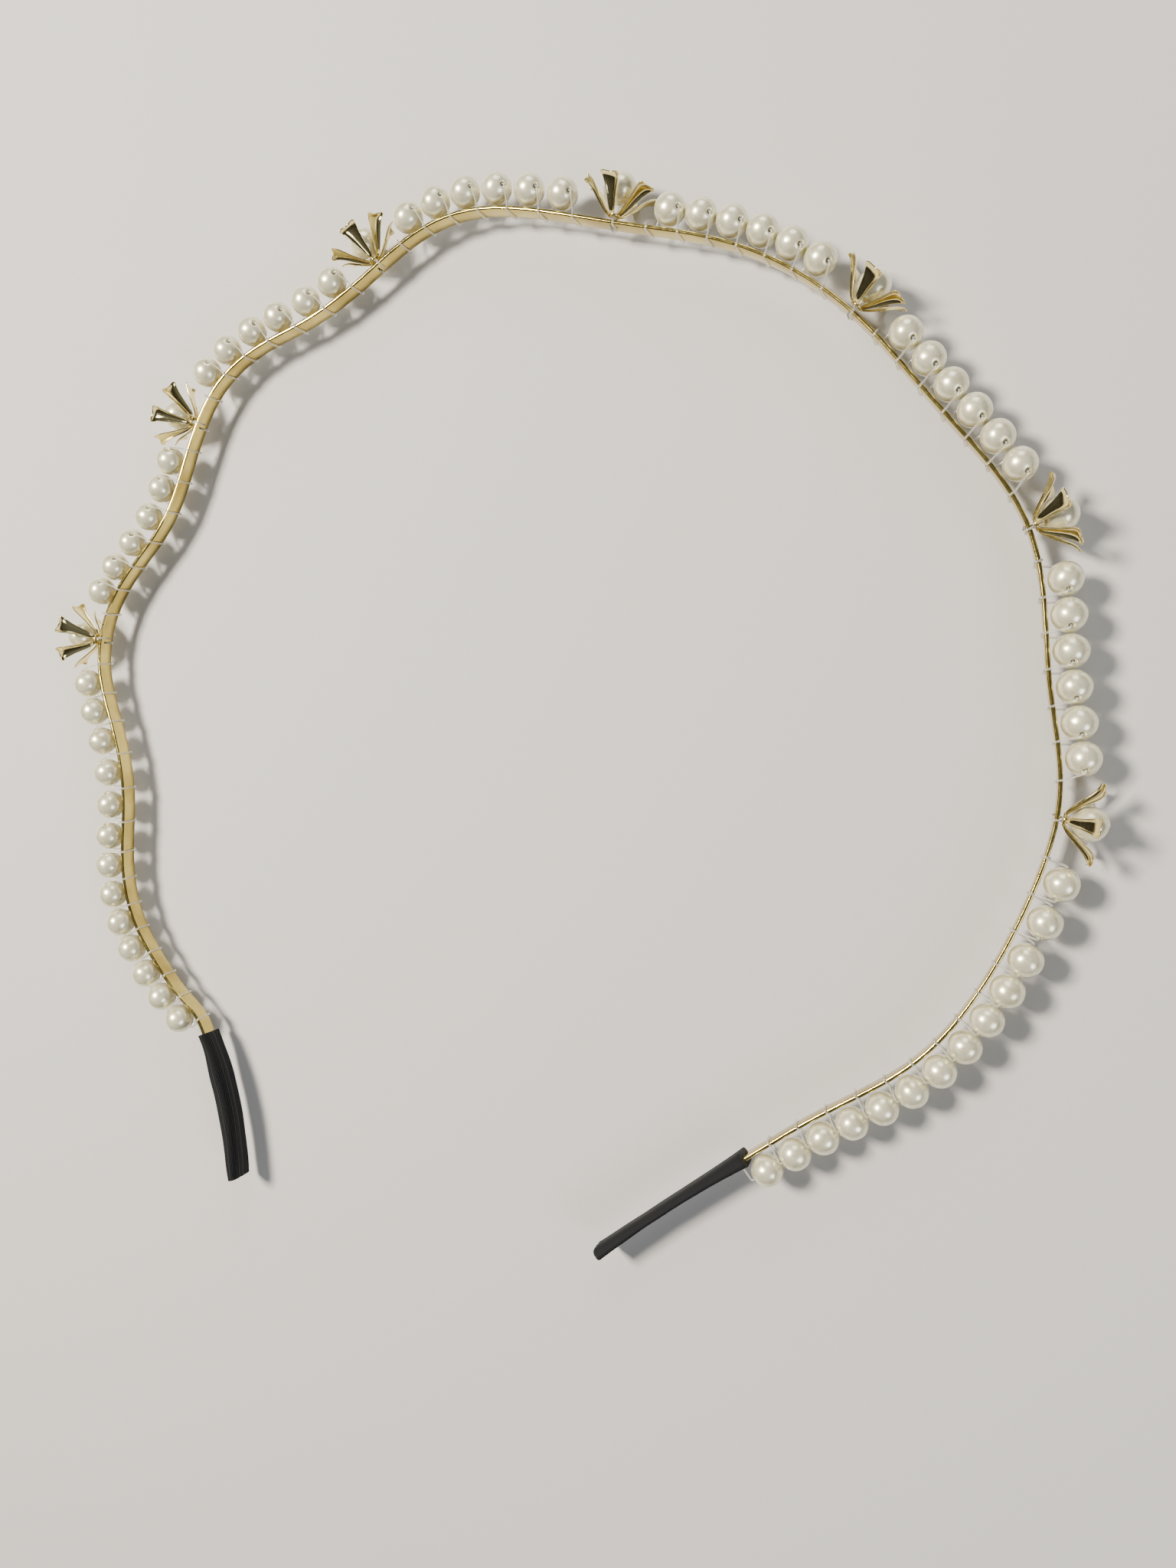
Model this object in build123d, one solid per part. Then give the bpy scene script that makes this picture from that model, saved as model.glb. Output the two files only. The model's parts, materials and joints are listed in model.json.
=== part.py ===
from build123d import *

import math
import os

# Pearl and flower headband, lying flat on its edge. All sizes are in millimetres.
# X runs across the head, Y towards the crown and Z up through the width of the strip.
# Distances along the strip are measured from the tip of its left arm.

# The strip: thin springy metal on edge, bent by hand into a wavy horseshoe.
STRIP_WIDTH = 2.8
STRIP_THICKNESS = 0.6
STRIP_STEPS = 80
LEFT_STRAIGHT = 22.0
RIGHT_STRAIGHT = 26.0
LEFT_ARM = [
    (-54.2, -48.4), (-55.1, -46.3), (-57.9, -43.3), (-63.0, -37.5), (-67.9, -29.4), (-69.6, -20.5),
    (-69.2, -10.0), (-71.0, 1.0),
]
CROWN = [
    (-73.5, 12.0), (-70.5, 22.5), (-60.5, 34.5), (-54.0, 49.0), (-50.0, 55.0), (-42.5, 60.0),
    (-34.0, 63.0), (-21.5, 70.0), (-15.5, 73.5), (-7.5, 75.5), (1.5, 74.5), (15.5, 70.5),
    (31.5, 65.5), (47.0, 55.0), (58.5, 41.0), (69.5, 24.5),
]
RIGHT_ARM = [
    (72.0, 4.5), (73.2, -9.0), (69.7, -22.3), (63.6, -34.5), (55.3, -44.6), (43.2, -52.5), (35.6, -57.6),
    (33.2, -59.3),
]

# Pearls: drilled slantwise, strung in one row along the strip's outer face.
PEARL_DIAMETER = 4.5
PEARL_BORE = 0.9
PEARL_SLACK = 0.3
CROWN_SLANT = 45.0
ARM_SLANT = 25.0
FLOWER_PLACES = [91.6, 130.6, 169.8, 208.3, 245.4, 282.5, 319.6]
# Each crown run's name, how far its first pearl is past its flower, and its pearls' spacings.
CROWN_RUNS = [
    ("1_2", 7.1, [4.7, 5.0, 5.2, 5.0, 4.6]),
    ("2_3", 7.2, [4.8, 5.1, 4.9, 5.3, 5.0]),
    ("3_4", 7.2, [4.7, 4.8, 5.0, 5.1, 5.2]),
    ("4_5", 7.8, [4.54, 4.54, 4.54, 4.54, 4.54]),
    ("5_6", 7.2, [4.6, 4.54, 4.54, 4.54, 4.6]),
    ("6_7", 7.2, [4.54, 4.54, 4.54, 4.54, 4.54]),
]
# The arms' pearls, counted from the flower outwards.
LEFT_ARM_START = 6.6
LEFT_ARM_GAPS = [4.75, 5.1, 5.3, 5.3, 5.1, 4.85, 4.85, 4.8, 4.7, 4.85, 4.7, 4.75]
RIGHT_ARM_START = 7.7
RIGHT_ARM_GAPS = [5.3, 5.4, 4.65, 4.6, 4.6, 4.6, 4.6, 4.6, 4.6, 4.54, 4.54, 4.6]

# Clear nylon thread, and how far its middle stands off what it goes round.
THREAD_DIAMETER = 0.3
THREAD_GAP = 0.05
THREAD_CORNER = 0.35
# The most of a short run of thread that the arc at one of its corners may take up.
CORNER_SHARE = 0.45
# How far each corner of a wrap is along the strip, how far a wrap is before the middle of its gap, and
# how far the first and last wraps are from the nearest pearl.
WRAP_STEPS = [-0.1, 0.0, 0.25, 0.35]
WRAP_LEAD = 0.15
END_WRAP = 2.6
# A flower's thread: how far apart its two sides are from the middle, how much wider they stand on the
# strip's inner face, how far its ends stop from the strip's middle, its clearance from the pearl, its way
# round under the pearl in degrees, and how far it goes out before it turns in to the pearl's bore.
TIE_SIDE = 0.2
TIE_SPREAD = 0.1
TIE_END = 0.4
TIE_CLEARANCE = 0.08
TIE_ANGLES = [80, 64, 48, 32, 16]
TIE_OVERSHOOT = 0.12

# Flower cups: a small drilled hub with six channelled petals.
PETALS = 6
HUB_RADIUS = 1.3
HUB_HOLE = 0.5
HUB_THICKNESS = 0.35
HUB_STAND_OFF = 0.4
PETAL_THICKNESS = 0.25
PETAL_RIM = 0.45
# The most of a petal's width that its rim may take, and how many sheets thick the channel's inner corners
# and its outer ones are set in.
PETAL_RIM_SHARE = 0.33
CHANNEL_INSET = 1.4
BACK_INSET = 0.6
PETAL_CURVE = [(1.0, 0.05), (1.8, 1.0), (2.8, 2.1), (3.8, 3.0), (4.9, 3.55)]
PETAL_WIDTHS = [0.8, 1.1, 1.7, 2.4, 2.8]
FLOWER_TURNS = [45.0, 15.0, 30.0, 30.0, 28.0, 20.0, 30.0]
FLOWER_PEARL_HEIGHTS = [3.75, 3.75, 3.75, 4.4, 3.75, 3.8, 3.75]

# Fabric sleeves over the two tips.
LEFT_SLEEVE_LENGTH = 22.5
RIGHT_SLEEVE_LENGTH = 25.2
SLEEVE_WIDTH = 4.6
SLEEVE_THICKNESS = 1.6
SLEEVE_CORNER = 0.6
SLEEVE_PAST_TIP = 1.0
SLEEVE_FIT = 0.05

# How many times the search for a pearl's place halves its range.
STEP_HALVINGS = 40

PEARL_RADIUS = PEARL_DIAMETER / 2
THREAD_RADIUS = THREAD_DIAMETER / 2
# The pearls' undersides are level with the strip's lower edge.
ROW_HEIGHT = PEARL_RADIUS - STRIP_WIDTH / 2
ROW_OUT = STRIP_THICKNESS / 2 + PEARL_SLACK + PEARL_RADIUS
WRAP_OUT = STRIP_THICKNESS / 2 + THREAD_GAP + THREAD_RADIUS
WRAP_UP = STRIP_WIDTH / 2 + THREAD_GAP + THREAD_RADIUS


def centre_line():
    """The strip's centre line: a straight stretch in each sleeve and a smooth curve between them."""
    curve = Spline(*LEFT_ARM, *CROWN, *RIGHT_ARM)
    left = Line(curve @ 0 - curve % 0 * LEFT_STRAIGHT, curve @ 0)
    right = Line(curve @ 1, curve @ 1 + curve % 1 * RIGHT_STRAIGHT)
    return [left.edge(), curve.edge(), right.edge()]


LINE = centre_line()
STRIP_LENGTH = sum(edge.length for edge in LINE)


def on_line(distance):
    """The edge of the centre line that a distance falls on, and the share of it that comes before."""
    left, curve, right = LINE
    if distance < left.length:
        return left, distance / left.length
    if distance < left.length + curve.length:
        return curve, (distance - left.length) / curve.length
    return right, (distance - left.length - curve.length) / right.length


def directions(distance):
    """The strip's direction and its outward direction at a distance along it."""
    edge, share = on_line(distance)
    tangent = edge % share
    return tangent, Vector(-tangent.Y, tangent.X, 0)


def place(distance, out=0.0, up=0.0, along=0.0):
    """The point at a distance along the strip, moved outwards, upwards and along it."""
    edge, share = on_line(distance)
    tangent, outwards = directions(distance)
    return edge @ share + tangent * along + outwards * out + Vector(0, 0, up)


def step(start, pitch, way):
    """The distance along the strip of the pearl one pitch on from the pearl at start."""
    low = 0.0
    high = 2 * pitch
    here = place(start, ROW_OUT)
    for _ in range(STEP_HALVINGS):
        middle = (low + high) / 2
        if (place(start + way * middle, ROW_OUT) - here).length < pitch:
            low = middle
        else:
            high = middle
    return start + way * high


def run_from(first, gaps, way):
    """The places of a run of pearls, each gap on from the one before, in order along the strip."""
    places = [first]
    for gap in gaps:
        places.append(step(places[-1], gap, way))
    return sorted(places)


def slant(distance, rise):
    """The direction of a row pearl's bore, which rises along the strip by an angle in degrees."""
    tangent = directions(distance)[0]
    angle = math.radians(rise)
    return tangent * math.cos(angle) + Vector(0, 0, math.sin(angle))


def pearl(centre, bore_direction):
    """A drilled pearl."""
    drilled = Sphere(PEARL_RADIUS) - Cylinder(PEARL_BORE / 2, 2 * PEARL_DIAMETER)
    return Plane(origin=centre, z_dir=bore_direction) * drilled


def pearl_run(places, rise):
    """A run of separate pearls, their bores rising along the strip."""
    return Compound([pearl(place(at, ROW_OUT, ROW_HEIGHT), slant(at, rise)).solid() for at in places])


def corner_radii(points):
    """A radius for each corner of a thread: the usual one, or less where its runs are short."""
    radii = []
    for before, here, after in zip(points, points[1:], points[2:]):
        arriving = here - before
        leaving = after - here
        half_turn = math.radians(arriving.get_angle(leaving)) / 2
        room = CORNER_SHARE * min(arriving.length, leaving.length) / math.tan(half_turn)
        radii.append(min(THREAD_CORNER, room))
    return radii


def thread_along(points):
    """A thread of round section along a route of straight runs joined by tangent arcs."""
    path = FilletPolyline(*points, radius=corner_radii(points))
    start = Plane(origin=path @ 0, z_dir=path % 0)
    return sweep(start * Circle(THREAD_RADIUS), path=path)


def wrap(distance):
    """One turn round the strip: over its upper edge, down its inner face and under its lower edge."""
    return [
        place(distance, WRAP_OUT, WRAP_UP, WRAP_STEPS[0]),
        place(distance, -WRAP_OUT, WRAP_UP, WRAP_STEPS[1]),
        place(distance, -WRAP_OUT, -WRAP_UP, WRAP_STEPS[2]),
        place(distance, WRAP_OUT, -WRAP_UP, WRAP_STEPS[3]),
    ]


def through(distance, rise):
    """The way through a row pearl, from under its near side to above its far side."""
    centre = place(distance, ROW_OUT, ROW_HEIGHT)
    reach = slant(distance, rise) * (PEARL_RADIUS + THREAD_DIAMETER)
    return [centre - reach, centre + reach]


def run_thread(places, rise):
    """The thread of a run: a wrap before the first pearl, then a pearl and a wrap in turn."""
    points = wrap(places[0] - END_WRAP)
    last_wrap = places[-1] + END_WRAP
    for at, following in zip(places, places[1:] + [places[-1] + 2 * END_WRAP]):
        points += through(at, rise)
        points += wrap(min((at + following) / 2 - WRAP_LEAD, last_wrap))
    return thread_along(points)


def petal_section(radius, height, slope, width):
    """The channel section of a petal: its floor faces the pearl and its two rims stand outwards."""
    plane = Plane(
        origin=(radius, 0, height),
        x_dir=(0, 1, 0),
        z_dir=(math.cos(slope), 0, math.sin(slope)),
    )
    half = width / 2
    wall = PETAL_THICKNESS
    rim = min(PETAL_RIM, PETAL_RIM_SHARE * width)
    floor = half - CHANNEL_INSET * wall
    back = half - BACK_INSET * wall
    outline = [
        (-half, -rim), (-half + wall, -rim), (-floor, -wall), (floor, -wall), (half - wall, -rim),
        (half, -rim), (back, 0), (-back, 0),
    ]
    return plane * make_face(Polyline(*outline, close=True))


def petal():
    """One petal, rising from the hub along +X and flaring at its tip."""
    sections = []
    last = len(PETAL_CURVE) - 1
    for index, (radius, height) in enumerate(PETAL_CURVE):
        back = PETAL_CURVE[max(index - 1, 0)]
        ahead = PETAL_CURVE[min(index + 1, last)]
        slope = math.atan2(ahead[1] - back[1], ahead[0] - back[0])
        sections.append(petal_section(radius, height + HUB_THICKNESS, slope, PETAL_WIDTHS[index]))
    return loft(sections, ruled=True)


def cup():
    """A flower cup standing on its hub, its axis along +Z."""
    hub = Pos(0, 0, HUB_THICKNESS / 2) * Cylinder(HUB_RADIUS, HUB_THICKNESS)
    one = petal()
    for index in range(PETALS):
        hub += Rot(0, 0, index * 360 / PETALS) * one
    hole = Cylinder(HUB_HOLE, 4 * HUB_THICKNESS)
    return hub - hole


def flower_plane(distance):
    """The plane of a flower's hub: X along the strip, Z outwards."""
    tangent, outwards = directions(distance)
    origin = place(distance, STRIP_THICKNESS / 2 + HUB_STAND_OFF, ROW_HEIGHT)
    return Plane(origin=origin, x_dir=tangent, z_dir=outwards)


def flower_cup(distance, turn):
    """A cup at its place on the strip, turned about its own axis."""
    return flower_plane(distance) * Rot(0, 0, turn) * cup()


def flower_pearl(distance, height):
    """The pearl held in a cup, drilled crosswise along the strip."""
    centre = place(distance, STRIP_THICKNESS / 2 + height, ROW_HEIGHT)
    return pearl(centre, directions(distance)[0])


def flower_tie(distance, height):
    """The thread that holds a flower: round the strip, up the hub's hole and through the pearl."""
    side = TIE_SIDE
    wide = TIE_SIDE + TIE_SPREAD
    clear = PEARL_RADIUS + THREAD_RADIUS + TIE_CLEARANCE
    out = STRIP_THICKNESS / 2 + height
    reach = clear + TIE_OVERSHOOT

    def beside(angle, way):
        lean = math.radians(angle)
        return place(distance, out - clear * math.sin(lean), ROW_HEIGHT, way * clear * math.cos(lean))

    rising = [
        place(distance, -WRAP_OUT, -TIE_END, wide + TIE_SPREAD),
        place(distance, -WRAP_OUT, WRAP_UP, wide),
        place(distance, WRAP_OUT, WRAP_UP, side),
        place(distance, WRAP_OUT, ROW_HEIGHT, side),
    ]
    falling = [
        place(distance, WRAP_OUT, ROW_HEIGHT, -side),
        place(distance, WRAP_OUT, -WRAP_UP, -side),
        place(distance, -WRAP_OUT, -WRAP_UP, -wide),
        place(distance, -WRAP_OUT, TIE_END, -wide - TIE_SPREAD),
    ]
    up_side = [beside(angle, 1) for angle in TIE_ANGLES] + [place(distance, out, ROW_HEIGHT, reach)]
    down_side = [beside(angle, -1) for angle in TIE_ANGLES] + [place(distance, out, ROW_HEIGHT, -reach)]
    return thread_along(rising + up_side + down_side[::-1] + falling)


def strip():
    """The metal strip, standing on edge, its ends cut square."""
    half = STRIP_THICKNESS / 2
    stations = [STRIP_LENGTH * index / STRIP_STEPS for index in range(STRIP_STEPS + 1)]
    outer = [place(at, half) for at in stations]
    inner = [place(at, -half) for at in stations]
    border = [
        Spline(*outer), Line(outer[-1], inner[-1]), Spline(*inner[::-1]), Line(inner[0], outer[0]),
    ]
    face = make_face(border)
    return extrude(Pos(0, 0, -STRIP_WIDTH / 2) * face, amount=STRIP_WIDTH, dir=(0, 0, 1))


def sleeve(tip, inwards, length):
    """A closed-ended fabric sleeve round one straight tip of the strip."""
    plane = Plane(origin=tip - inwards * SLEEVE_PAST_TIP, x_dir=(0, 0, 1), z_dir=inwards)
    section = RectangleRounded(SLEEVE_WIDTH, SLEEVE_THICKNESS, SLEEVE_CORNER)
    body = extrude(plane * section, amount=length)
    pocket_plane = plane.offset(SLEEVE_PAST_TIP - SLEEVE_FIT)
    pocket = Rectangle(STRIP_WIDTH + 2 * SLEEVE_FIT, STRIP_THICKNESS + 2 * SLEEVE_FIT)
    return body - extrude(pocket_plane * pocket, amount=length)


def pearl_runs():
    """Each run's name, its pearls' places and the rise of their bores."""
    runs = [("left_arm", run_from(FLOWER_PLACES[0] - LEFT_ARM_START, LEFT_ARM_GAPS, -1), ARM_SLANT)]
    for (name, start, gaps), flower in zip(CROWN_RUNS, FLOWER_PLACES):
        runs.append((name, run_from(flower + start, gaps, 1), CROWN_SLANT))
    runs.append(("right_arm", run_from(FLOWER_PLACES[-1] + RIGHT_ARM_START, RIGHT_ARM_GAPS, 1), ARM_SLANT))
    return runs


def build():
    """Every sub-part by its node's name, in the strip's own frame."""
    nodes = {"strip": strip()}
    left, _, right = LINE
    nodes["sleeve_left"] = sleeve(left @ 0, left % 0, LEFT_SLEEVE_LENGTH)
    nodes["sleeve_right"] = sleeve(right @ 1, right % 1 * -1, RIGHT_SLEEVE_LENGTH)
    for name, places, rise in pearl_runs():
        nodes[f"pearls_{name}"] = pearl_run(places, rise)
        nodes[f"thread_{name}"] = run_thread(places, rise)
    for index, at in enumerate(FLOWER_PLACES):
        height = FLOWER_PEARL_HEIGHTS[index]
        nodes[f"flower_cup_{index + 1}"] = flower_cup(at, FLOWER_TURNS[index])
        nodes[f"flower_pearl_{index + 1}"] = flower_pearl(at, height)
        nodes[f"flower_tie_{index + 1}"] = flower_tie(at, height)
    return nodes


NODES = build()
BOX = Compound([shape for shape in NODES.values()]).bounding_box()
# The origin is under the middle of the headband's box, on the surface that it lies on.
TO_ORIGIN = Pos(-BOX.center().X, -BOX.center().Y, -BOX.min.Z)

os.makedirs("parts", exist_ok=True)
for node, shape in NODES.items():
    export_step(TO_ORIGIN * shape, f"parts/{node}.step")
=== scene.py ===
"""The looks of a pearl and flower headband: gold strip, pearls, flower cups, nylon thread and sleeves."""

import json
import logging
import math
import random
from collections.abc import Iterable, Sequence
from dataclasses import dataclass, field
from enum import Enum

import bmesh
import bpy
import numpy as np
from mathutils import Matrix, Vector, noise


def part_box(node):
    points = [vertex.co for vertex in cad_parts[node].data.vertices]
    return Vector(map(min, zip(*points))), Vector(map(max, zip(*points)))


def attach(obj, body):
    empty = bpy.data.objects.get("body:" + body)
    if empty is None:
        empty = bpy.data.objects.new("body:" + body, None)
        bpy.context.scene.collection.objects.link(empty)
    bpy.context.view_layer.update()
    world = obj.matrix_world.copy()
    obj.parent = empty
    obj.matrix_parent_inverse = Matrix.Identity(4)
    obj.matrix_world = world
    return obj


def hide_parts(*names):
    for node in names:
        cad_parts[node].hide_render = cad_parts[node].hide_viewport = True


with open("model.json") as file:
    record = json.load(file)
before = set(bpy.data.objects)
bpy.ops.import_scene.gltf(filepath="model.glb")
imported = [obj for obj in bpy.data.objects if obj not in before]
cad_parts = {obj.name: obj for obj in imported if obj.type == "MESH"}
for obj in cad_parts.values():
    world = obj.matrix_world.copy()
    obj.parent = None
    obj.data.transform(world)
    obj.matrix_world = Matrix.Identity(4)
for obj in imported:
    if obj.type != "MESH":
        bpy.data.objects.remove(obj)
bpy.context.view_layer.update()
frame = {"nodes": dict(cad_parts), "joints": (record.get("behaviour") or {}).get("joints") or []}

LOG = logging.getLogger("headband")
MM = 0.001
UP = Vector((0.0, 0.0, 1.0))
# Points of a CAD mesh closer than this are one point.
WELD = 0.001 * MM


# --- Colours and shader nodes ---------------------------------------------------------------------


def linear(hex_colour: str) -> tuple[float, float, float, float]:
    """Turns an sRGB hex colour to the linear colour that a socket takes.

    Args:
        hex_colour: six hex digits, such as "f2ead8".

    Returns:
        Red, green, blue and an alpha of 1.
    """
    parts = [int(hex_colour[i : i + 2], 16) / 255 for i in (0, 2, 4)]
    red, green, blue = [c / 12.92 if c <= 0.04045 else ((c + 0.055) / 1.055) ** 2.4 for c in parts]
    return red, green, blue, 1.0


def add_node(
    tree: bpy.types.NodeTree,
    kind: str,
    inputs: dict[str | int, object] | None = None,
    **settings: object,
) -> bpy.types.Node:
    """Adds a node with its settings, values and links.

    Args:
        tree: the node tree.
        kind: the node's type name.
        inputs: each input's value, or the output socket that feeds it.
        settings: the node's own properties.

    Returns:
        The node.
    """
    node = tree.nodes.new(kind)
    for name, value in settings.items():
        setattr(node, name, value)
    for name, value in (inputs or {}).items():
        if isinstance(value, bpy.types.NodeSocket):
            tree.links.new(value, node.inputs[name])
        else:
            node.inputs[name].default_value = value
    return node


def add_noise(
    tree: bpy.types.NodeTree,
    place: bpy.types.NodeSocket,
    scale: float,
    detail: float,
    distortion: float = 0.0,
) -> bpy.types.NodeSocket:
    """Adds a noise texture.

    Args:
        tree: the node tree.
        place: the coordinates that it reads.
        scale: how many of its features there are in a unit of the coordinates.
        detail: how many finer layers it has.
        distortion: how much it swirls.

    Returns:
        The noise's value.
    """
    inputs = {"Vector": place, "Scale": scale, "Detail": detail, "Distortion": distortion}
    return add_node(tree, "ShaderNodeTexNoise", inputs).outputs["Fac"]


def add_bump(
    tree: bpy.types.NodeTree,
    height: bpy.types.NodeSocket,
    strength: float,
    depth_mm: float,
    below: bpy.types.NodeSocket | None = None,
) -> bpy.types.NodeSocket:
    """Adds a bump.

    Args:
        tree: the node tree.
        height: the value that drives it.
        strength: its share, 0 to 1.
        depth_mm: how deep it is in millimetres.
        below: the normal of a bump that it lies on.

    Returns:
        The bumped normal.
    """
    inputs = {"Height": height, "Strength": strength, "Distance": depth_mm * MM}
    if below is not None:
        inputs["Normal"] = below
    return add_node(tree, "ShaderNodeBump", inputs).outputs["Normal"]


def colour_ramp(
    tree: bpy.types.NodeTree, factor: bpy.types.NodeSocket, stops: Sequence[tuple[float, str]]
) -> bpy.types.NodeSocket:
    """Adds a colour ramp.

    Args:
        tree: the node tree.
        factor: the socket that drives the ramp.
        stops: each stop's place and sRGB hex colour.

    Returns:
        The ramp's colour.
    """
    ramp = add_node(tree, "ShaderNodeValToRGB", {"Fac": factor})
    elements = ramp.color_ramp.elements
    for index, (position, colour) in enumerate(stops):
        element = elements[index] if index < 2 else elements.new(position)
        element.position = position
        element.color = linear(colour)
    return ramp.outputs["Color"]


def new_material(name: str) -> tuple[bpy.types.Material, bpy.types.NodeTree, bpy.types.Node]:
    """Makes an empty node material.

    Args:
        name: the material's name.

    Returns:
        The material, its tree and its Principled shader.
    """
    material = bpy.data.materials.new(name)
    material.use_nodes = True
    tree = material.node_tree
    tree.nodes.clear()
    shader = add_node(tree, "ShaderNodeBsdfPrincipled")
    add_node(tree, "ShaderNodeOutputMaterial", {"Surface": shader.outputs["BSDF"]})
    return material, tree, shader


# --- Finishes -------------------------------------------------------------------------------------


class GoldTone(Enum):
    """The two tones of gold plate: the strip's pale one and the cups' warmer one."""

    STRIP = "strip"
    CUP = "cup"


@dataclass(frozen=True)
class GoldPlate:
    """Pale gold plate on polished brass: mirror-like, with faint rubbing and a slow unevenness."""

    tone: GoldTone
    bright: str
    deep: str
    roughness: float
    unevenness_mm: float = 6.0
    unevenness_depth_mm: float = 0.08
    unevenness_strength: float = 0.25
    rubbing_mm: float = 0.22
    rubbing_depth_mm: float = 0.01
    rubbing_strength: float = 0.12
    smoothest: float = 0.7
    roughest: float = 1.6

    def build(self) -> bpy.types.Material:
        """Returns the plated metal's material."""
        material, tree, shader = new_material(f"gold_plate_{self.tone.value}")
        place = add_node(tree, "ShaderNodeTexCoord").outputs["Object"]
        slow = add_noise(tree, place, 1 / (self.unevenness_mm * MM), 3.0)
        fine = add_noise(tree, place, 1 / (self.rubbing_mm * MM), 4.0)
        colour = colour_ramp(tree, slow, [(0.3, self.deep), (0.65, self.bright)])
        spread = {
            "Value": fine,
            "From Min": 0.35,
            "From Max": 0.75,
            "To Min": self.roughness * self.smoothest,
            "To Max": self.roughness * self.roughest,
        }
        rough = add_node(tree, "ShaderNodeMapRange", spread).outputs["Result"]
        uneven = add_bump(tree, slow, self.unevenness_strength, self.unevenness_depth_mm)
        rubbed = add_bump(tree, fine, self.rubbing_strength, self.rubbing_depth_mm, uneven)
        shader.inputs["Metallic"].default_value = 1.0
        tree.links.new(colour, shader.inputs["Base Color"])
        tree.links.new(rough, shader.inputs["Roughness"])
        tree.links.new(rubbed, shader.inputs["Normal"])
        return material


@dataclass(frozen=True)
class PearlLustre:
    """Pearl: ivory nacre with a soft glow below a clear skin, faint swirls and a few dimples."""

    light: str = "f1edcc"
    shade: str = "d3cda4"
    metallic: float = 0.5
    roughness: float = 0.3
    skin: float = 1.0
    skin_roughness: float = 0.1
    swirl_mm: float = 1.6
    swirl_depth_mm: float = 0.05
    swirl_strength: float = 0.3
    dimple_mm: float = 2.6
    dimple_depth_mm: float = 0.18
    dimple_strength: float = 0.5

    def build(self) -> bpy.types.Material:
        """Returns the pearls' material."""
        material, tree, shader = new_material("pearl_lustre")
        place = add_node(tree, "ShaderNodeTexCoord").outputs["Object"]
        swirl = add_noise(tree, place, 1 / (self.swirl_mm * MM), 3.0, distortion=1.4)
        dimple = add_noise(tree, place, 1 / (self.dimple_mm * MM), 1.0)
        colour = colour_ramp(tree, swirl, [(0.25, self.shade), (0.55, self.light)])
        dented = add_bump(tree, dimple, self.dimple_strength, self.dimple_depth_mm)
        rippled = add_bump(tree, swirl, self.swirl_strength, self.swirl_depth_mm, dented)
        tree.links.new(colour, shader.inputs["Base Color"])
        tree.links.new(rippled, shader.inputs["Normal"])
        shader.inputs["Metallic"].default_value = self.metallic
        shader.inputs["Roughness"].default_value = self.roughness
        shader.inputs["Coat Weight"].default_value = self.skin
        shader.inputs["Coat Roughness"].default_value = self.skin_roughness
        return material


@dataclass(frozen=True)
class ClearNylon:
    """Drawn nylon: mostly clear, glossy and a little milky."""

    tint: str = "fbfaf5"
    roughness: float = 0.12
    bending: float = 1.53
    clearness: float = 0.8

    def build(self) -> bpy.types.Material:
        """Returns the thread's material."""
        material, _, shader = new_material("clear_nylon")
        shader.inputs["Base Color"].default_value = linear(self.tint)
        shader.inputs["Roughness"].default_value = self.roughness
        shader.inputs["IOR"].default_value = self.bending
        shader.inputs["Transmission Weight"].default_value = self.clearness
        return material


@dataclass(frozen=True)
class RibbedKnit:
    """Black ribbed fabric tube: matt, with fine stitches across each rib that catch a little light."""

    ground: str = "040506"
    highlight: str = "111319"
    roughness: float = 0.9
    sheen: float = 0.06
    sheen_roughness: float = 0.5
    stitch_mm: float = 0.4
    stitch_depth_mm: float = 0.08
    stitch_strength: float = 0.8
    fibres_per_mm: float = 9.0

    def build(self) -> bpy.types.Material:
        """Returns the sleeves' material."""
        material, tree, shader = new_material("ribbed_knit")
        surface = add_node(tree, "ShaderNodeUVMap", uv_map="UVMap").outputs["UV"]
        weave = {"Vector": surface, "Scale": 1 / self.stitch_mm, "Distortion": 1.2, "Detail": 2.0}
        stitches = add_node(tree, "ShaderNodeTexWave", weave, bands_direction="X").outputs["Fac"]
        fibres = add_noise(tree, surface, self.fibres_per_mm, 6.0)
        both = {0: stitches, 1: fibres}
        mixed = add_node(tree, "ShaderNodeMath", both, operation="MULTIPLY").outputs["Value"]
        colour = colour_ramp(tree, mixed, [(0.1, self.ground), (0.75, self.highlight)])
        bumped = add_bump(tree, mixed, self.stitch_strength, self.stitch_depth_mm)
        tree.links.new(colour, shader.inputs["Base Color"])
        tree.links.new(bumped, shader.inputs["Normal"])
        shader.inputs["Roughness"].default_value = self.roughness
        shader.inputs["Sheen Weight"].default_value = self.sheen
        shader.inputs["Sheen Roughness"].default_value = self.sheen_roughness
        return material


@dataclass(frozen=True)
class Finishes:
    """Every finish of the headband, built once."""

    strip: bpy.types.Material
    cup: bpy.types.Material
    pearl: bpy.types.Material
    thread: bpy.types.Material
    sleeve: bpy.types.Material

    @classmethod
    def build(cls) -> "Finishes":
        """Builds the materials."""
        return cls(
            strip=GoldPlate(GoldTone.STRIP, "cdbb70", "a18d49", 0.12).build(),
            cup=GoldPlate(GoldTone.CUP, "f1e4ab", "dcc987", 0.13).build(),
            pearl=PearlLustre().build(),
            thread=ClearNylon().build(),
            sleeve=RibbedKnit().build(),
        )


# --- Shapes ---------------------------------------------------------------------------------------


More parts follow.
